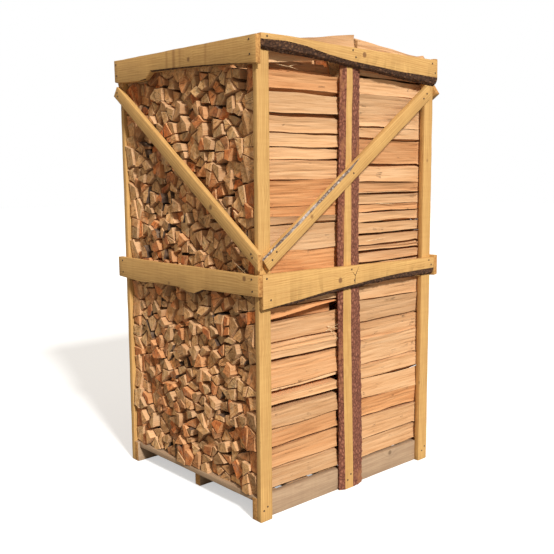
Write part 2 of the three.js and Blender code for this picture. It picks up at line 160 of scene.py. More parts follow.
def split_beech():
    """Torn fibres: fine streaks, broad bands, long thin cracks darkened as painted shade, and peach turning
    to orange.
    """
    material, tree, shader, grain = new_material("split_beech")
    tone, red, _ = log_colour(tree)
    fibres = noise(tree, grain, 230, 4, (0.025, 1, 1), 0.6)
    bands = noise(tree, grain, 30, 3, (0.07, 1, 1))
    streak = sums(tree, sums(tree, fibres, 0.5, "MULTIPLY"), sums(tree, bands, 0.5, "MULTIPLY"))
    pale = add(tree, "ValToRGB", {0: streak}, [(0.27, "#9a6b40"), (0.7, "#d9b287"), (0.43, "#c7996a")])
    orange = add(tree, "ValToRGB", {0: streak}, [(0.27, "#8a4f26"), (0.7, "#d9a06a"), (0.43, "#c3824c")])
    wood = mix(tree, red, pale.outputs[0], orange.outputs[0])
    crack = sums(tree, sums(tree, noise(tree, grain, 45, 2, (0.045, 1, 1)), 0.5, "SUBTRACT"), 0, "ABSOLUTE")
    rift = sums(tree, crack, add(tree, "MapRange", {0: noise(tree, grain, 14, 2), 1: 0.5, 2: 0.66, 3: 0.05,
                                                    4: 0}).outputs[0])
    crack_depth_and_shade = add(tree, "MapRange", {0: rift, 1: 0.003, 2: 0.012}).outputs[0]
    # Painted shade: the colour darkens to two thirds along the cracks, as if shade fell inside them; each
    # log's own random tone also scales it.
    shade = sums(tree, add(tree, "MapRange", {0: tone, 3: 0.8, 4: 1.14}).outputs[0],
                 add(tree, "MapRange", {0: crack_depth_and_shade, 3: 0.66, 4: 1}).outputs[0], "MULTIPLY")
    grey = add(tree, "CombineColor", {0: shade, 1: shade, 2: shade}).outputs[0]
    relief = sums(tree, sums(tree, crack_depth_and_shade, 0.5, "MULTIPLY"), streak)
    surface(tree, shader, mix(tree, 1, wood, grey, "MULTIPLY"), 0.85, relief, 0.005)
    return material


def sawn_beech_end():
    """End grain: rings around the pith, fine rays, drying checks darkened as painted shade, and grey
    weathered patches.
    """
    material, tree, shader, grain = new_material("sawn_beech_end")
    tone, red, own = log_colour(tree)
    flat = add(tree, "VectorMath", {0: grain, 1: (0, 1, 1)}, operation="MULTIPLY").outputs[0]
    across = add(tree, "SeparateXYZ", {0: flat}).outputs
    radius = add(tree, "VectorMath", {0: flat}, operation="LENGTH").outputs["Value"]
    angle = sums(tree, across[1], across[2], "ARCTAN2")
    wobble = sums(tree, noise(tree, flat, 30), 0.012, "MULTIPLY")
    rings = sums(tree, sums(tree, sums(tree, radius, wobble), 900, "MULTIPLY"), 0, "SINE")
    ray_place = add(tree, "CombineXYZ", {0: sums(tree, angle, 30, "MULTIPLY"),
                                         1: sums(tree, radius, 25, "MULTIPLY"),
                                         2: sums(tree, own, 90, "MULTIPLY")}).outputs[0]
    rays = noise(tree, ray_place, 1, 2)
    check_place = add(tree, "CombineXYZ", {0: sums(tree, angle, 4, "MULTIPLY"),
                                           1: sums(tree, radius, 9, "MULTIPLY"),
                                           2: sums(tree, own, 70, "MULTIPLY")}).outputs[0]
    ridge = sums(tree, sums(tree, noise(tree, check_place, 1, 1), 0.5, "SUBTRACT"), 0, "ABSOLUTE")
    checks = add(tree, "MapRange", {0: ridge, 1: 0.004, 2: 0.016}).outputs[0]
    mottle = noise(tree, grain, 60, 3)
    mark = sums(tree, sums(tree, rays, 0.5, "MULTIPLY"), sums(tree, mottle, 0.5, "MULTIPLY"))
    mark = sums(tree, mark, sums(tree, rings, 0.025, "MULTIPLY"))
    pale = add(tree, "ValToRGB", {0: mark}, [(0.34, "#9a6d3e"), (0.68, "#e6c18d"), (0.5, "#cb9a60")])
    orange = add(tree, "ValToRGB", {0: mark}, [(0.34, "#86421a"), (0.68, "#dc8f4c"), (0.5, "#c0662a")])
    wood = mix(tree, red, pale.outputs[0], orange.outputs[0])
    patches = add(tree, "MapRange", {0: noise(tree, grain, 22, 2), 1: 0.5, 2: 0.75, 4: 0.5}).outputs[0]
    wood = mix(tree, patches, wood, linear("#a08a6c"))
    # Painted shade: the colour is halved along the drying checks, as if shade fell inside them; each log's
    # own random tone also scales it.
    shade = sums(tree, add(tree, "MapRange", {0: tone, 3: 0.66, 4: 1.42}).outputs[0],
                 add(tree, "MapRange", {0: checks, 3: 0.5, 4: 1}).outputs[0], "MULTIPLY")
    grey = add(tree, "CombineColor", {0: shade, 1: shade, 2: shade}).outputs[0]
    relief = sums(tree, checks, sums(tree, mark, 0.6, "MULTIPLY"))
    surface(tree, shader, mix(tree, 1, wood, grey, "MULTIPLY"), 0.9, relief, 0.002)
    return material


def beech_bark():
    """Beech bark is thin and nearly smooth: brown-grey, with pale blotches and fine wrinkles."""
    material, tree, shader, grain = new_material("beech_bark")
    blotch = noise(tree, grain, 28, 4, (0.6, 1, 1))
    wrinkle = noise(tree, grain, 160, 3, (1, 0.35, 0.35))
    mark = sums(tree, sums(tree, blotch, 0.7, "MULTIPLY"), sums(tree, wrinkle, 0.3, "MULTIPLY"))
    bark = add(tree, "ValToRGB", {0: mark}, [(0.36, "#3c2a1e"), (0.66, "#86705a"), (0.5, "#5f4836")])
    surface(tree, shader, bark.outputs[0], 0.9, mark, 0.004)
    return material


BEECH = [sawn_beech_end(), split_beech(), beech_bark()]
END, SPLIT, BARK = range(3)
print("beech materials", [material.name for material in BEECH])

# %% [markdown]
# ## Where each log lies
# The CAD holds each row of logs as one stepped block, in which every log's end lies at a depth
# of its own. Triangles of the block that face along Y and share a depth are therefore one log's
# end, and the edges that only one of them uses are its outline. The loose logs on top are read
# the same way, each from its own node.

# %% Read the log ends from the CAD
DEPTH_STEP = 1e-5


def cad_triangles(node):
    """A CAD node's triangles, as corners of x, y and z."""
    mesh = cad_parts[node].data
    mesh.calc_loop_triangles()
    points = np.empty(3 * len(mesh.vertices))
    mesh.vertices.foreach_get("co", points)
    corners = np.empty(3 * len(mesh.loop_triangles), int)
    mesh.loop_triangles.foreach_get("vertices", corners)
    return points.reshape(-1, 3)[corners.reshape(-1, 3)]


def outline_of(triangles):
    """The outline of flat triangles that face along Y, anticlockwise in x and z."""
    places = {}
    edges = set()
    for corners in triangles[:, :, [0, 2]]:
        keys = [tuple(np.round(corner / DEPTH_STEP).astype(int)) for corner in corners]
        places.update(zip(keys, corners))
        edges.update(zip(keys, keys[1:] + keys[:1]))
    following = {start: end for start, end in edges if (end, start) not in edges}
    chain = [min(following)]
    while following[chain[-1]] != chain[0]:
        chain.append(following[chain[-1]])
    outline = np.array([places[key] for key in chain])
    return outline if area(outline) > 0 else outline[::-1]


def area(outline):
    """The area of an outline, positive if it runs anticlockwise."""
    x, z = outline.T
    return (np.dot(x, np.roll(z, -1)) - np.dot(z, np.roll(x, -1))) / 2


def ends_of(node, facing):
    """The depth and outline of each log end of a node that faces -Y or +Y."""
    triangles = cad_triangles(node)
    normals = np.cross(triangles[:, 1] - triangles[:, 0], triangles[:, 2] - triangles[:, 0])
    normals /= np.linalg.norm(normals, axis=1, keepdims=True)
    caps = triangles[normals[:, 1] * facing > 0.999]
    depths = np.round(caps[:, 0, 1] / DEPTH_STEP).astype(int)
    return [(depth * DEPTH_STEP, outline_of(caps[depths == depth])) for depth in np.unique(depths)]


LOG_ROWS = {"front": -1, "back": 1}
row_ends = {row: ends_of("log_row_" + row, facing) for row, facing in LOG_ROWS.items()}
row_inner = {row: ends_of("log_row_" + row, -facing)[0][0] for row, facing in LOG_ROWS.items()}
top_logs = sorted(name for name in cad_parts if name.startswith("top_log_"))
print("logs in the rows", {row: len(ends) for row, ends in row_ends.items()}, "on top", len(top_logs))

# %% [markdown]
# ## The shape of a split log
# A log is split from a round of trunk, so its end is a wedge: three to five straight sides, and
# sometimes one round side with bark. Each log takes its outline from the CAD, and outlines too
# large for one log are split again. A log then loses its least corners and draws back a little
# from its neighbours, which leaves the dark gaps of a stack. Logs that show on a side draw back
# only where they show: inside they touch, so that nobody can look through the stack.

# %% Outlines of split logs
MOST_CORNERS = 5
SEEN_LOSS = 0.001
HIDDEN_LOSS = (0.03, 0.12)
GAPS = (0.0015, 0.0075)
WIDE_GAP, WIDE_SHARE = 0.005, 0.15
SEEN_GAPS = 1.7
FACE_GAP = 0.0006
BARK_SHARE = 0.22
RED_SHARE = 0.3
SPLIT_AGAIN_FROM = (0.003, 0.0052)
SIDE_TIP = 0.49
SIDE_DEPTH = 0.445
LEAST_AREA = 0.0012
DECK_TOP = 0.105
DECK_BITE = 0.006


def fewer_corners(outline, loss, most):
    """Drops corners, least first, down to a number, and all that cost little of the area."""
    whole = area(outline)
    while len(outline) > 3:
        before, after = np.roll(outline, 1, 0), np.roll(outline, -1, 0)
        cut = np.abs(np.cross(outline - before, after - outline)) / 2
        if len(outline) <= most and cut.min() > loss * whole:
            break
        outline = np.delete(outline, cut.argmin(), 0)
    return outline


def reaches_side(outline):
    """True for a log that shows on a side of the stack."""
    return np.abs(outline[:, 0]).max() > SIDE_TIP


def edge_runs(outline):
    """The direction, outward normal and length of each edge of an outline."""
    run = np.roll(outline, -1, 0) - outline
    length = np.linalg.norm(run, axis=1)
    run = run / length[:, None]
    return run, np.stack([run[:, 1], -run[:, 0]], 1), length


def inset(outline, gaps):
    """Moves each edge of an outline inwards by a gap of its own."""
    run, outward, _ = edge_runs(outline)
    point = outline - outward * gaps[:, None]
    last_point, last_run = np.roll(point, 1, 0), np.roll(run, 1, 0)
    share = np.cross(point - last_point, run) / np.cross(last_run, run)
    return last_point + last_run * share[:, None]


def split_outline(outline, rng, visible):
    """The corners of a split log, where it would touch, its edges' bulges and its bark edge."""
    is_seen = reaches_side(outline) or visible(outline).any()
    loss, most = (SEEN_LOSS, len(outline)) if is_seen else (rng.uniform(*HIDDEN_LOSS), MOST_CORNERS)
    tight = fewer_corners(outline, loss, most)
    gaps = rng.uniform(*GAPS, len(tight)) + (rng.random() < WIDE_SHARE) * WIDE_GAP
    gaps *= SEEN_GAPS if is_seen else 1
    gaps[visible(tight)] = FACE_GAP
    smaller = inset(tight, gaps)
    corners = smaller if area(smaller) > 0.5 * area(tight) else tight.copy()
    if is_seen:
        buried = ~(visible(tight) | np.roll(visible(tight), 1))
        corners[buried] = tight[buried]
    for part in (corners, tight):
        part[part[:, 1] < DECK_TOP + DECK_BITE, 1] -= DECK_BITE
    run, outward, length = edge_runs(corners)
    bulges = rng.uniform(-0.02, 0.03, len(corners)) * length
    if rng.random() > BARK_SHARE or is_seen:
        return corners, tight.copy(), bulges * (not is_seen), None
    edge = int(np.argmax(length * rng.uniform(0.7, 1.3, len(length))))
    following = (edge + 1) % len(corners)
    pull = rng.uniform(0.18, 0.34) * min(length[edge - 1], length[following])
    rounded = corners.copy()
    rounded[edge] = corners[edge] - run[edge - 1] * pull
    rounded[following] = corners[following] + run[following] * pull
    drops = (corners - rounded)[[edge, following]] @ outward[edge]
    bulges[edge] = max(0.004, drops.mean())
    return rounded, tight.copy(), bulges, edge


def cut_in_two(outline, normal, place):
    """The parts of an outline before and after a line through a place, or all of it if it misses."""
    offset = (outline - place) @ normal
    if offset.min() >= 0 or offset.max() <= 0:
        return [outline]
    parts = ([], [])
    for number, here in enumerate(offset):
        after = (number + 1) % len(outline)
        parts[int(here > 0)].append(outline[number])
        if here * offset[after] < 0:
            meeting = outline[number] + (outline[after] - outline[number]) * here / (here - offset[after])
            parts[0].append(meeting)
            parts[1].append(meeting)
    return [np.array(part) for part in parts]


def split_small(outline, rng):
    """The outlines that a log is split into, across its longest side, until each is small enough."""
    if area(outline) < rng.uniform(*SPLIT_AGAIN_FROM):
        return [outline]
    longest = np.linalg.svd(outline - outline.mean(0))[2][0]
    turn = math.atan2(longest[1], longest[0]) + rng.uniform(-0.6, 0.6)
    normal = np.array([math.cos(turn), math.sin(turn)])
    halves = cut_in_two(outline, normal, outline.mean(0) + normal * rng.uniform(-0.008, 0.008))
    return [part for half in halves for part in split_small(half, rng)]


def split_behind(outline, rng):
    """The outlines of a log at the side of the stack and of those split from behind it."""
    outward = np.array([math.copysign(1, outline[:, 0].mean()), rng.uniform(-0.4, 0.4)])
    parts = cut_in_two(outline, outward, np.array([outward[0] * SIDE_DEPTH, outline[:, 1].mean()]))
    if len(parts) == 1 or area(parts[0]) < LEAST_AREA:
        return [outline]
    return [parts[1]] + split_small(parts[0], rng)


# %% [markdown]
# ## Growing the logs
# Each log is a tube of rings between its two ends. The rims are a little rubbed off, the ends
# are sawn slightly out of square, and the edges wander along the fibres. Sides that can be seen
# have torn facets: a row of ridges, each set back by its own amount. A thousand logs are
# quicker to make from arrays than by hand, and the hidden ones keep only a few dozen faces.
# A log may also change in height from end to end, which leaves a hollow in the stack.

# %% Build one log
RIM = 0.002
FACET = 0.009
FINE_RINGS = 18
PLAIN_RINGS = 3
HIDDEN_STEPS = 2
CLOSED_PLACE = 0.03
CLOSED_INSIDE = 0.15
SIDE_REACH = 0.47
FILLED_REACH = 0.5095
HOLLOW_DEPTH = 0.005
RIDGE_DEPTH = 0.0022
SAW_TILT = 0.13
TOUCHING_STRAY = 0.3
WANDER_PACES = np.array([2.0, 5.5, 11.0, 23.0])
WANDER_REACH = np.array([0.005, 0.003, 0.0016, 0.0008])


def edge_points(corners, visible):
    """The edge, the share along it and whether it is seen, for each point round an outline."""
    lengths = edge_runs(corners)[2]
    seen = visible(corners)
    points = []
    for edge, length in enumerate(lengths):
        steps = max(3, round(length / FACET)) if seen[edge] else HIDDEN_STEPS
        points += [(edge, step / steps, seen[edge]) for step in range(steps)]
    edges, shares, fine = (np.array(column) for column in zip(*points))
    return edges.astype(int), shares, fine.astype(bool)


def wandering(count, along, rng, is_fine):
    """How far each corner of a log strays from a straight line at each ring."""
    paces = WANDER_PACES if is_fine else WANDER_PACES[:1]
    phase = rng.uniform(0, 2 * math.pi, (len(paces), count, 2))
    reach = WANDER_REACH[:len(paces), None, None] * rng.uniform(-1, 1, (len(paces), count, 2))
    lean = rng.uniform(-0.006, 0.006, (count, 2)) * (1.0 if is_fine else 0.5)
    waves = np.sin(along[:, None, None, None] * paces[:, None, None] + phase) * reach
    return waves.sum(1) + (along - 0.5)[:, None, None] * lean


def place_in_wood(points, corners, barked, rng):
    """Each point's place in the tree: along the fibre, then across from the pith."""
    if barked is None:
        turn = rng.uniform(0, 2 * math.pi)
        pith = corners.mean(0) + rng.uniform(0.03, 0.1) * np.array([math.cos(turn), math.sin(turn)])
    else:
        middle = (corners[barked] + corners[(barked + 1) % len(corners)]) / 2
        pith = middle - edge_runs(corners)[1][barked] * rng.uniform(0.08, 0.14)
    return np.stack([points[:, 1] + rng.uniform(0, 40), points[:, 0] - pith[0], points[:, 2] - pith[1]], 1)


def grow_log(outline, places, rng, visible, heights=(1, 1), pivot=None):
    """The points, faces, face materials and wood attributes of one log."""
    corners, tight, bulges, barked = split_outline(outline, rng, visible)
    edges, shares, fine = edge_points(corners, visible)
    length = places[1] - places[0]
    inner = np.linspace(0, 1, FINE_RINGS if fine.any() else PLAIN_RINGS)[1:-1]
    along = np.concatenate([[0, RIM / length], inner, [1 - RIM / length, 1]])
    stray = wandering(len(corners), along, rng, fine.any())
    hollow = np.where(fine, rng.uniform(0, HOLLOW_DEPTH) * np.sin(math.pi * shares), 0)
    ridges = np.where(fine & (shares > 0), rng.uniform(0, RIDGE_DEPTH, len(edges)), 0)
    ridge_pace, ridge_phase = rng.uniform(2, 12, len(edges)), rng.uniform(0, 6, len(edges))
    tilts = rng.uniform(-SAW_TILT, SAW_TILT, (2, 2))
    pivot = outline[:, 1].min() if pivot is None else pivot
    from_open_end = abs(along - (abs(places[1]) > abs(places[0]))) * length
    if fine.any():
        closing = np.clip(1 - abs(from_open_end - CLOSED_PLACE) / CLOSED_PLACE, 0, 1)
    else:
        closing = np.clip(1 - (length - from_open_end) / CLOSED_INSIDE, 0, 1)
    at_side = np.abs(tight[:, 0]) > SIDE_REACH
    tight[at_side, 0] = np.sign(tight[at_side, 0]) * FILLED_REACH
    loose = np.where((corners == tight).all(1), TOUCHING_STRAY, 1)
    rings = []
    for share, strayed, closed in zip(along, stray, closing):
        here = corners + (tight - corners) * closed
        here[:, 1] = pivot + (here[:, 1] - pivot) * (heights[0] + (heights[1] - heights[0]) * share)
        here += strayed * (1 - closed) * loose[:, None]
        one, two = here[edges], here[(edges + 1) % len(corners)]
        depth = (hollow + ridges * (1 + np.sin(ridge_pace * share + ridge_phase))) * (1 - closed)
        out = bulges[edges] * 4 * shares * (1 - shares) - depth
        ring = one + (two - one) * shares[:, None] + edge_runs(here)[1][edges] * out[:, None]
        away = ring - ring.mean(0)
        if share in (0, 1):
            ring = ring - away * RIM / np.linalg.norm(away, axis=1, keepdims=True)
        lean = away @ tilts[round(share)] * (2 * abs(share - 0.5)) ** 8
        rings.append(np.stack([ring[:, 0], places[0] + share * length + lean, ring[:, 1]], 1))
    points = np.concatenate(rings)
    size, last = len(edges), (len(along) - 1) * len(edges)
    here, after = np.arange(size), np.roll(np.arange(size), -1)
    band = np.stack([here, here + size, after + size, after], 1)
    faces = (band + np.arange(0, last, size)[:, None, None]).reshape(-1, 4).tolist()
    faces += [here.tolist(), (here[::-1] + last).tolist()]
    kinds = np.tile(np.where(edges == (-1 if barked is None else barked), BARK, SPLIT), len(along) - 1)
    red = rng.uniform(0.5, 1) if rng.random() < RED_SHARE else rng.uniform(0, 0.3)
    colour = np.tile([rng.beta(2, 2), red, rng.random(), 1], (len(points), 1))
    return points, faces, kinds.tolist() + [END, END], place_in_wood(points, corners, barked, rng), colour


# %% [markdown]
# Logs of one row become one mesh, since nobody moves them one by one. The loose logs on top stay
# pieces of their own. As in the photo, one log under the right middle rail and one under the top
# rail thin out towards the middle post, and the logs at the back right are heaped.

# %% Join logs into pieces
def wood_piece(name, points, faces, kinds, materials, grain):
    """A mesh object with the place in the wood on its points."""
    mesh = bpy.data.meshes.new(name)
    mesh.from_pydata(points.tolist(), [], faces)
    for material in materials:
        mesh.materials.append(material)
    mesh.polygons.foreach_set("material_index", kinds)
    mesh.attributes.new("grain_place", "FLOAT_VECTOR", "POINT").data.foreach_set("vector", grain.ravel())
    piece = bpy.data.objects.new(name, mesh)
    bpy.context.scene.collection.objects.link(piece)
    return piece


def log_piece(name, logs, nodes):
    """One piece of grown logs, in place of CAD nodes."""
    points, faces, kinds, grain, colour = [], [], [], [], []
    for log_points, log_faces, log_kinds, log_grain, log_shade in logs:
        offset = sum(len(part) for part in points)
        faces += [[corner + offset for corner in face] for face in log_faces]
        kinds += log_kinds
        points.append(log_points)
        grain.append(log_grain)
        colour.append(log_shade)
    piece = wood_piece(name, np.concatenate(points), faces, kinds, BEECH, np.concatenate(grain))
    shade = piece.data.attributes.new("log_colour", "FLOAT_COLOR", "POINT")
    shade.data.foreach_set("color", np.concatenate(colour).ravel())
    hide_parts(*nodes)
    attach(piece, "root")
    return piece


def side_edges(corners):
    """True for each edge that shows on a side of the stack."""
    _, outward, _ = edge_runs(corners)
    middle = (corners + np.roll(corners, -1, 0)) / 2
    return (np.abs(middle[:, 0]) > SIDE_REACH) & (outward[:, 0] * np.sign(middle[:, 0]) > 0.15)


def top_edges(corners):
    """True for each edge that shows from above or on a side."""
    return side_edges(corners) | (edge_runs(corners)[1][:, 1] > 0.2)


THINNED_ROW, THINNED_PLACE, THINNED_END = "front", (0.5, 0.91), 0.12


def heights_of(row, outline):
    """The share of its height that a log keeps at either end."""
    is_thinned = (outline.min(0) < THINNED_PLACE).all() and (outline.max(0) > THINNED_PLACE).all()
    return (1, THINNED_END) if row == THINNED_ROW and is_thinned else (1, 1)


END_SCATTER = 0.02
FARTHEST_END = 0.587
SIDE_END = 0.575

NOTCH_WEDGE = (0.577, np.array([(0.437, 1.4672), (0.501, 1.4425), (0.5035, 1.4885)]))
row_ends["back"].append(NOTCH_WEDGE)

rng = np.random.default_rng(11)
for row, ends in row_ends.items():
    logs = []
    for depth, outline in ends:
        split = split_behind if reaches_side(outline) else split_small
        for part in split(outline, rng):
            reach = min(abs(depth) + rng.uniform(-END_SCATTER, END_SCATTER), FARTHEST_END)
            reach = max(reach, SIDE_END) if reaches_side(part) else reach
            places = sorted((math.copysign(reach, depth), row_inner[row]))
            heights = heights_of(row, part)
            logs.append(grow_log(part, places, rng, side_edges, heights, part[:, 1].max()))
    piece = log_piece(f"logs_{row}_row", logs, [f"log_row_{row}"])
    print(piece.name, len(logs), "logs,", len(piece.data.polygons), "faces")

front_logs = [name for name in top_logs if "front" in name]
TAPERED_LOG = max(front_logs, key=lambda name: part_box(name)[1][0])
TAPER = 0.3
TAPER_LIFT = 0.016
HEAP_FROM = 0.3
HEAP_STRETCH = 1.28
HEAP_TAPER = 0.8
for node in top_logs:
    (front, outline), (rear, rear_outline) = ends_of(node, -1)[0], ends_of(node, 1)[0]
    heights, pivot = (1, np.ptp(rear_outline[:, 1]) / np.ptp(outline[:, 1])), None
    if "back" in node and outline[:, 0].max() > HEAP_FROM:
        low = outline[:, 1].min()
        outline = outline * (1, HEAP_STRETCH) + (0, low * (1 - HEAP_STRETCH))
        heights = (1, HEAP_TAPER)
    if node == TAPERED_LOG:
        outline = outline + (0, TAPER_LIFT)
        heights, pivot = (1, TAPER), outline[:, 1].max()
    log = grow_log(outline, (front, rear), rng, top_edges, heights, pivot)
    log_piece(node + "_split", [log], [node])
print(len(top_logs), "loose logs, of which", TAPERED_LOG, "thins out over a hollow")

# %% [markdown]
# ## Spruce, sawn and with its bark
# The crate is nailed from cheap spruce: yellow, with lines of late wood along the board, brown
# knots, and the cross bands that a band saw leaves. The base boards have greyed on wet ground.
# Where a board was cut close to the outside of the tree, its edge keeps the dark scaly bark.

# %% Spruce materials
def sawn_board(name, early, late, knot, dirt, stained=0):
    """Sawn softwood: late wood lines, knots, saw bands, a little dirt, perhaps brown stains."""
    material, tree, shader, grain = new_material(name)
    spots = add(tree, "TexVoronoi", {"Vector": grain, "Scale": 6.0}).outputs["Distance"]
    core = add(tree, "MapRange", {0: spots, 1: 0.06, 2: 0.1, 3: 0.8, 4: 0}).outputs[0]
    ring = add(tree, "MapRange", {0: spots, 1: 0.06, 2: 0.3, 3: 1, 4: 0}).outputs[0]
    flat = add(tree, "VectorMath", {0: grain, 1: (0, 1, 1)}, operation="MULTIPLY").outputs[0]
    radius = add(tree, "VectorMath", {0: flat}, operation="LENGTH").outputs["Value"]
    drift = sums(tree, noise(tree, grain, 7, 2, (0.12, 1, 1)), 0.035, "MULTIPLY")
    depth = sums(tree, sums(tree, radius, drift), sums(tree, ring, 0.012, "MULTIPLY"))
    lines = sums(tree, sums(tree, depth, 620, "MULTIPLY"), 0, "SINE")
    fibres = noise(tree, grain, 240, 3, (0.025, 1, 1), 0.6)
    bands = noise(tree, grain, 60, 1, (1, 0.04, 0.04))
    mark = sums(tree, sums(tree, lines, 0.04, "MULTIPLY"), sums(tree, fibres, 0.55, "MULTIPLY"))
    mark = sums(tree, mark, sums(tree, bands, 0.1, "MULTIPLY"))
    wood = add(tree, "ValToRGB", {0: mark}, [(0.15, late), (0.5, early)]).outputs[0]
    wood = mix(tree, add(tree, "MapRange", {0: noise(tree, grain, 11, 3, (0.4, 1, 1)), 1: 0.5, 2: 0.8,
                                            4: 0.55}).outputs[0], wood, linear(dirt))
    streaks = noise(tree, grain, 9, 2, (1, 0.08, 0.08))
    stains = add(tree, "MapRange", {0: streaks, 1: 0.6, 2: 0.68, 4: stained})
    wood = mix(tree, stains.outputs[0], wood, linear("#8a5a2c"))
    wood = mix(tree, core, wood, linear(knot))
    surface(tree, shader, wood, 0.75, mark, 0.002)
    return material


def spruce_end():
    """The sawn ends of boards: darker and more orange than the faces, with close rings."""
    material, tree, shader, grain = new_material("spruce_end")
    flat = add(tree, "VectorMath", {0: grain, 1: (0, 1, 1)}, operation="MULTIPLY").outputs[0]
    radius = add(tree, "VectorMath", {0: flat}, operation="LENGTH").outputs["Value"]
    rings = sums(tree, sums(tree, radius, 1300, "MULTIPLY"), 0, "SINE")
    mark = sums(tree, noise(tree, grain, 80, 3), sums(tree, rings, 0.1, "MULTIPLY"))
    wood = add(tree, "ValToRGB", {0: mark}, [(0.3, "#94602c"), (0.7, "#cf9c58")]).outputs[0]
    surface(tree, shader, wood, 0.9, mark, 0.001)
    return material


def bark(name, colours, bare_from, bare_colours):
    """Bark in rough scales, with the inner bark laid bare where scales have come off."""
    material, tree, shader, grain = new_material(name)
    longer = add(tree, "VectorMath", {0: grain, 1: (0.6, 1, 1)}, operation="MULTIPLY").outputs[0]
    scales = add(tree, "TexVoronoi", {"Vector": longer, "Scale": 75.0},
                 feature="DISTANCE_TO_EDGE").outputs["Distance"]
    rough = noise(tree, grain, 120, 4)
    mark = sums(tree, sums(tree, scales, 0.9, "MULTIPLY"), sums(tree, rough, 0.6, "MULTIPLY"))
    scaly = add(tree, "ValToRGB", {0: mark}, list(zip((0.25, 0.8, 0.5), colours))).outputs[0]
    patches = noise(tree, grain, 16, 3, (0.3, 1, 1))
    bare = add(tree, "MapRange", {0: patches, 1: bare_from, 2: bare_from + 0.08}).outputs[0]
    inner = mix(tree, rough, *(linear(colour) for colour in bare_colours))
    surface(tree, shader, mix(tree, bare, scaly, inner), 0.92, mark, 0.004)
    return material


FRESH_COLOURS = ("#d7ac67", "#ae7e43", "#6d4423", "#b0854d")
SAWN_SPRUCE = sawn_board("sawn_spruce", *FRESH_COLOURS)
STAINED_SPRUCE = sawn_board("stained_spruce", *FRESH_COLOURS, stained=0.6)
GREY_SPRUCE = sawn_board("grey_spruce", "#b99b7a", "#94765a", "#6d553c", "#8f7860")
SPRUCE_END = spruce_end()
RAIL_BARK = bark("spruce_bark", ("#301c10", "#86603f", "#583922"), 0.64, ("#6d3f24", "#b07a4a"))
SLAB_BARK = bark("slab_bark", ("#552c1c", "#ad755a", "#86503a"), 0.56, ("#7c4a2c", "#a8714a"))
GREY_BARK = bark("weathered_bark", ("#4a3428", "#cfc8c0", "#8a7a6e"), 0.54, ("#6a4a38", "#d8d0c6"))
print("spruce materials made, with three kinds of bark")

# %% [markdown]
# ## Dressing a board
# A board starts as a copy of its CAD solid, so it fits where the solid did. Its triangles are
# merged into plain faces, its edges bevelled as if worn, and it is cut across every few
# centimetres so that it can be given the slight unevenness of rough sawing. Faces of the round
# edge of the tree are told by their slope: they are cut finer, get the bark, and are displaced.

# %% Tools for boards
SAWN, SAWN_END, WANE = range(3)
CUT_STEP = 0.04
WORN_EDGE = 0.0022
SAWING_DEPTH = 0.003
BARK_DEPTH = 0.012


def select_only(piece):
    """Makes one piece the only selected and active one."""
    bpy.ops.object.select_all(action="DESELECT")
    piece.select_set(True)
    bpy.context.view_layer.objects.active = piece


def cloud(name, size, depth):
    """A cloud texture for displacing, with blotches of a size in metres."""
    texture = bpy.data.textures.new(name, "CLOUDS")
    texture.noise_scale = size
    texture.noise_depth = depth
    return texture


ROUGH_SAWING = cloud("rough_sawing", 0.11, 1)
BARK_SCALES = cloud("bark_scales", 0.016, 3)


def apply_modifier(piece, kind, **settings):
    """Adds a modifier with its settings and applies it."""
    modifier = piece.modifiers.new(kind.lower(), kind)
    for name, value in settings.items():
        setattr(modifier, name, value)
    bpy.ops.object.modifier_apply(modifier=modifier.name)


def clean_copy(node):
    """A copy of a CAD solid with its triangles merged into plain faces."""
    piece = bpy.data.objects.new(node + "_board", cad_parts[node].data.copy())
    bpy.context.scene.collection.objects.link(piece)
    piece.data.materials.clear()
    select_only(piece)
    bpy.ops.mesh.customdata_custom_splitnormals_clear()
    bpy.ops.object.mode_set(mode="EDIT")
    bpy.ops.mesh.select_all(action="SELECT")
    bpy.ops.mesh.remove_doubles(threshold=1e-5)
    bpy.ops.mesh.dissolve_limited(angle_limit=math.radians(0.4))
    bpy.ops.object.mode_set(mode="OBJECT")
    return piece


def points_of(piece):
    """A piece's points as an array."""
    points = np.empty(3 * len(piece.data.vertices))
    piece.data.vertices.foreach_get("co", points)
    return points.reshape(-1, 3)


def cut_across(piece, along, step):
    """Cuts a board across at even steps."""
    places = points_of(piece) @ along
    bpy.ops.object.mode_set(mode="EDIT")
    for place in np.arange(places.min() + step, places.max() - step / 2, step):
        bpy.ops.mesh.select_all(action="SELECT")
        bpy.ops.mesh.bisect(plane_co=along * place, plane_no=along)
    bpy.ops.object.mode_set(mode="OBJECT")


def sort_faces(piece, along, thin, round_limit):
    """Gives each face of a clean board its material by its slope."""
    across = np.cross(along, thin)
    for face in piece.data.polygons:
        slope = np.abs([np.dot(face.normal, axis) for axis in (along, thin, across)])
        is_round = slope[0] < 0.5 and slope[1] < round_limit[0] and slope[2] < round_limit[1]
        face.material_index = SAWN_END if slope[0] > 0.8 else WANE if is_round else SAWN


def bark_over(piece):
    """Cuts the round faces finer and displaces them, least along their borders."""
    select_only(piece)
    bpy.ops.object.mode_set(mode="EDIT")
    bpy.ops.mesh.select_mode(type="FACE")
    bpy.ops.mesh.select_all(action="DESELECT")
    bpy.ops.object.mode_set(mode="OBJECT")
    for face in piece.data.polygons:
        face.select = face.material_index == WANE
    bpy.ops.object.mode_set(mode="EDIT")
    bpy.ops.mesh.subdivide(number_cuts=4)
    bpy.ops.object.mode_set(mode="OBJECT")
    inner = set(range(len(piece.data.vertices)))
    sawn_faces = (face for face in piece.data.polygons if face.material_index != WANE)
    outer = {corner for face in sawn_faces for corner in face.vertices}
    group = piece.vertex_groups.new(name="bark")
    group.add(sorted(inner - outer), 1, "REPLACE")
    apply_modifier(piece, "DISPLACE", texture=BARK_SCALES, texture_coords="LOCAL", mid_level=0.55,
                   strength=BARK_DEPTH, vertex_group="bark")
    piece.vertex_groups.clear()


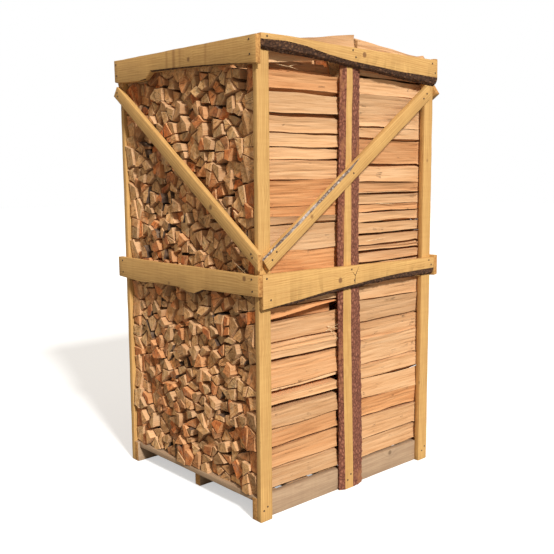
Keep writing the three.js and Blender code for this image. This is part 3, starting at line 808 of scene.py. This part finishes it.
def dress_board(node, thin, wood, wane, rng, round_limit):
    """The finished board in place of a CAD node."""
    piece = clean_copy(node)
    points = points_of(piece)
    along = np.linalg.svd(points - points.mean(0))[2][0]
    thin = np.array(thin, float)
    sort_faces(piece, along, thin, round_limit)
    for material in (wood, SPRUCE_END, wane):
        piece.data.materials.append(material)
    select_only(piece)
    apply_modifier(piece, "BEVEL", width=WORN_EDGE, segments=2, limit_method="ANGLE",
                   angle_limit=math.radians(38))
    cut_across(piece, along, CUT_STEP)
    if any(face.material_index == WANE for face in piece.data.polygons):
        bark_over(piece)
    select_only(piece)
    apply_modifier(piece, "DISPLACE", texture=ROUGH_SAWING, texture_coords="LOCAL", strength=SAWING_DEPTH)
    bpy.ops.object.shade_smooth_by_angle(angle=math.radians(32))
    points = points_of(piece)
    pith = rng.uniform((-0.03, 0.05), (0.03, 0.13))
    grain = np.stack([points @ along + rng.uniform(0, 30), points @ np.cross(along, thin) - pith[0],
                      points @ thin - pith[1]], 1)
    place = piece.data.attributes.new("grain_place", "FLOAT_VECTOR", "POINT")
    place.data.foreach_set("vector", grain.ravel())
    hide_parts(node)
    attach(piece, "root")
    return piece


# %% [markdown]
# ## The crate
# Posts and side boards are thin along X, front and back boards along Y, and the deck along Z.
# The middle post is a slab from the outside of the tree, so nearly all of it but its narrow sawn
# face counts as round.

# %% Dress every board
STAINED = ("top_rail_front", "top_rail_back")
board_rng = np.random.default_rng(4)
boards = {}
for node in sorted(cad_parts):
    if "log" in node:
        continue
    is_base = node.startswith(("deck", "runner", "side_plank"))
    thin = (0, 0, 1) if node.startswith("deck") else (1, 0, 0)
    if node.endswith(("rail_front", "rail_back", "brace_front", "brace_back")):
        thin = (0, 1, 0)
    is_slab = node in ("post_right_middle", "post_left_middle")
    slot = "base_boards" if is_base else "waney_slab" if is_slab else "sawn_spruce"
    limit = (0.9992, 2) if is_slab else (0.97, 0.97)
    wood = GREY_SPRUCE if is_base else STAINED_SPRUCE if node in STAINED else SAWN_SPRUCE
    wane = SLAB_BARK if is_slab else GREY_BARK if "brace" in node else RAIL_BARK
    boards[node] = dress_board(node, thin, wood, wane, board_rng, limit)
print(len(boards), "boards,", sum(len(piece.data.polygons) for piece in boards.values()), "faces")

# %% [markdown]
# ## Nails, the painted shade of a check, and splinters
# Round nail heads hold the boards at every crossing. Each is dropped onto its board by a ray, so
# that it sits on the wood. A drying check has opened where the right middle rail crosses the
# slab; its dark inside is painted shade, laid on the wood as near-black slivers. A few slivers of
# torn wood hang between the logs.

# %% Nails
NAIL_RADIUS = 0.0042
NAIL_HEIGHT = 0.003


def plain_material(name, dark, light, scale, roughness, metal=0):
    """A simple blotched surface, for things too small to show more."""
    material, tree, shader, _ = new_material(name)
    place = add(tree, "TexCoord").outputs["Object"]
    blotch = noise(tree, place, scale)
    colour = add(tree, "ValToRGB", {0: blotch}, [(0.35, dark), (0.65, light)]).outputs[0]
    surface(tree, shader, colour, roughness, blotch, 0.0005)
    shader.inputs["Metallic"].default_value = metal
    return material


def joined(name, parts, material):
    """Joins parts into one piece that rides with the crate."""
    bpy.ops.object.select_all(action="DESELECT")
    for part in parts:
        part.select_set(True)
    bpy.context.view_layer.objects.active = parts[0]
    bpy.ops.object.join()
    bpy.ops.object.transform_apply(location=True, rotation=True, scale=True)
    piece = bpy.context.object
    piece.name = name
    piece.data.materials.append(material)
    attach(piece, "root")
    return piece


RIGHT_NAILS = {
    "top_rail": [(-0.555, 2.093), (-0.04, 2.085), (-0.02, 2.056), (0.545, 2.075), (0.568, 2.03)],
    "middle_rail": [(-0.567, 1.094), (-0.545, 1.0), (-0.04, 1.088), (-0.02, 1.035), (0.545, 1.085),
                    (0.565, 1.06)],
    "brace": [(-0.535, 1.172), (-0.51, 1.205), (-0.03, 1.535), (0.48, 1.9), (0.505, 1.925)],
}
FRONT_NAILS = {
    "top_rail": [(-0.527, 2.085), (-0.524, 2.03), (0.524, 2.08), (0.528, 2.02)],
    "middle_rail": [(-0.527, 1.09), (-0.524, 1.03), (0.524, 1.092), (0.528, 1.04)],
    "brace": [(-0.526, 1.948), (-0.52, 1.93), (0.522, 1.2), (0.53, 1.185)],
}
FOOT_NAILS = {
    "post_right_front": [(-0.572, 0.052), (-0.55, 0.066)],
    "post_right_back": [(0.55, 0.05), (0.572, 0.07)],
    "post_right_middle": [(-0.03, 0.045), (-0.008, 0.07)],
}
FAR_SIDE = {"right": "left", "left": "right", "front": "back", "back": "front", "middle": "middle"}


def nail(board, spot, outward):
    """A nail head on a board, where a ray from outside meets it."""
    hit, place, normal, _ = board.ray_cast(spot + outward, -outward)
    if not hit:
        return []
    bpy.ops.mesh.primitive_cylinder_add(vertices=12, radius=NAIL_RADIUS, depth=NAIL_HEIGHT, location=place,
                                        rotation=normal.to_track_quat("Z", "Y").to_euler())
    return [bpy.context.object]


def nails_of(board_name, spots, outward):
    """Nail heads on a near board, and on its twin turned half round on the far side."""
    words = board_name.split("_")
    twin = "_".join([FAR_SIDE.get(word, word) if number or word == "middle" else word
                     for number, word in enumerate(words)])
    heads = []
    for along, height in spots:
        spot = Vector((0, along, height)) if outward.x else Vector((along, 0, height))
        turned = Vector((-spot.x, -spot.y, spot.z))
        heads += nail(boards[board_name], spot, outward) + nail(boards[twin], turned, -outward)
    return heads


bpy.context.view_layer.update()
heads = []
for kind, spots in RIGHT_NAILS.items():
    heads += nails_of(kind + "_right", spots, Vector((1, 0, 0)))
for kind, spots in FRONT_NAILS.items():
    heads += nails_of(kind + "_front", spots, Vector((0, -1, 0)))
for post, spots in FOOT_NAILS.items():
    heads += nails_of(post, spots, Vector((1, 0, 0)))
nail_steel = plain_material("nail_steel", "#33271f", "#6a5648", 300, 0.6, 0.5)
print(len(heads), "nails in", joined("nail_heads", heads, nail_steel).name)

# %% [markdown]
# A sliver is a thin pointed cone between two places.

# %% Slivers, and the painted shade of the drying check
def sliver(start, end, width):
    """A thin pointed cone from one place to another."""
    run = Vector(end) - Vector(start)
    bpy.ops.mesh.primitive_cone_add(vertices=6, radius1=width / 2, radius2=width / 8, depth=run.length,
                                    location=(Vector(start) + Vector(end)) / 2,
                                    rotation=run.to_track_quat("Z", "Y").to_euler())
    return bpy.context.object


TWIGS = [
    ((0.490, -0.44, 2.000), (0.494, -0.35, 1.992), 0.004),
    ((0.494, -0.37, 1.994), (0.494, -0.32, 2.008), 0.003),
    ((0.494, -0.36, 1.993), (0.490, -0.31, 1.986), 0.003),
    ((0.502, -0.14, 0.822), (0.522, -0.060, 0.800), 0.004),
    ((0.502, -0.13, 0.812), (0.522, -0.085, 0.757), 0.0035),
    ((0.505, -0.15, 0.800), (0.524, -0.080, 0.830), 0.003),
    ((0.46, -0.590, 1.105), (0.39, -0.598, 1.150), 0.004),
    ((0.42, -0.592, 1.105), (0.47, -0.596, 1.135), 0.003),
    ((0.500, 0.20, 1.388), (0.512, 0.33, 1.380), 0.004),
    ((0.500, 0.12, 1.205), (0.514, 0.26, 1.215), 0.005),
]
# Painted shade: near-black slivers lie on the slab along the drying check, standing in for the shade inside
# it.
CHECK_SHADE_STROKES = [
    ((0.5662, -0.018, 1.020), (0.5664, -0.014, 1.062), 0.005),
    ((0.5662, -0.014, 1.058), (0.5664, 0.010, 1.098), 0.004),
    ((0.5662, -0.015, 1.056), (0.5664, -0.036, 1.078), 0.004),
]


def turned(place):
    """The same place on the far side, half round."""
    return (-place[0], -place[1], place[2])


pale_splinter = plain_material("torn_splinter", "#c9a070", "#ead0a6", 120, 0.85)
# The drying check's near-black colour is painted shade.
painted_check_shade = plain_material("painted_check_shade", "#24140b", "#4a2e1a", 200, 0.95)
for name, places, material, slot in (("splinters", TWIGS, pale_splinter, "split_beech"),
                                     ("drying_check_shade", CHECK_SHADE_STROKES, painted_check_shade, "sawn_spruce")):
    parts = [sliver(start, end, width) for start, end, width in places]
    parts += [sliver(turned(start), turned(end), width) for start, end, width in places]
    print(len(parts), "slivers in", joined(name, parts, material).name)

# %% [markdown]
# ## Light and floor
# Plain studio light: a soft sun from the right that grazes the log ends, a pale warm sky for the
# shadows, and a pale floor. To the camera sky and floor look white, but they light the crate
# less than that, so that the shaded front stays darker than the right side.

# %% Light and floor
SUN_TOWARDS = Vector((0.80, -0.22, 0.56))
SUN_ENERGY, SUN_ANGLE = 4.1, math.radians(7)
SKY_STRENGTH = 0.5
FLOOR_GLOW = 0.5

sun = bpy.data.objects.new("key_light", bpy.data.lights.new("key_light", "SUN"))
sun.data.energy = SUN_ENERGY
sun.data.angle = SUN_ANGLE
sun.rotation_euler = SUN_TOWARDS.to_track_quat("Z", "Y").to_euler()
bpy.context.scene.collection.objects.link(sun)

bpy.context.scene.view_settings.view_transform = "Standard"
world = bpy.data.worlds.new("studio")
world.use_nodes = True
bpy.context.scene.world = world
seen = add(world.node_tree, "LightPath").outputs["Is Camera Ray"]
bright = add(world.node_tree, "MapRange", {0: seen, 3: SKY_STRENGTH, 4: 1.0}).outputs[0]
world.node_tree.links.new(mix(world.node_tree, seen, linear("#fff2e2"), linear("#ffffff")),
                          world.node_tree.nodes["Background"].inputs["Color"])
world.node_tree.links.new(bright, world.node_tree.nodes["Background"].inputs["Strength"])

bpy.ops.mesh.primitive_plane_add(size=60, location=(0, 0, -0.001))
floor = bpy.context.object
floor.name = "floor"
floor_material = bpy.data.materials.new("pale_floor")
floor_material.use_nodes = True
floor_tree = floor_material.node_tree
floor_shader = floor_tree.nodes["Principled BSDF"]
floor_seen = add(floor_tree, "LightPath").outputs["Is Camera Ray"]
floor_tree.links.new(mix(floor_tree, floor_seen, linear("#8a8a88"), linear("#d8d8d6")),
                     floor_shader.inputs["Base Color"])
floor_shader.inputs["Roughness"].default_value = 0.9
floor_shader.inputs["Emission Color"].default_value = linear("#ffffff")
floor_tree.links.new(sums(floor_tree, floor_seen, FLOOR_GLOW, "MULTIPLY"),
                     floor_shader.inputs["Emission Strength"])
floor.data.materials.append(floor_material)
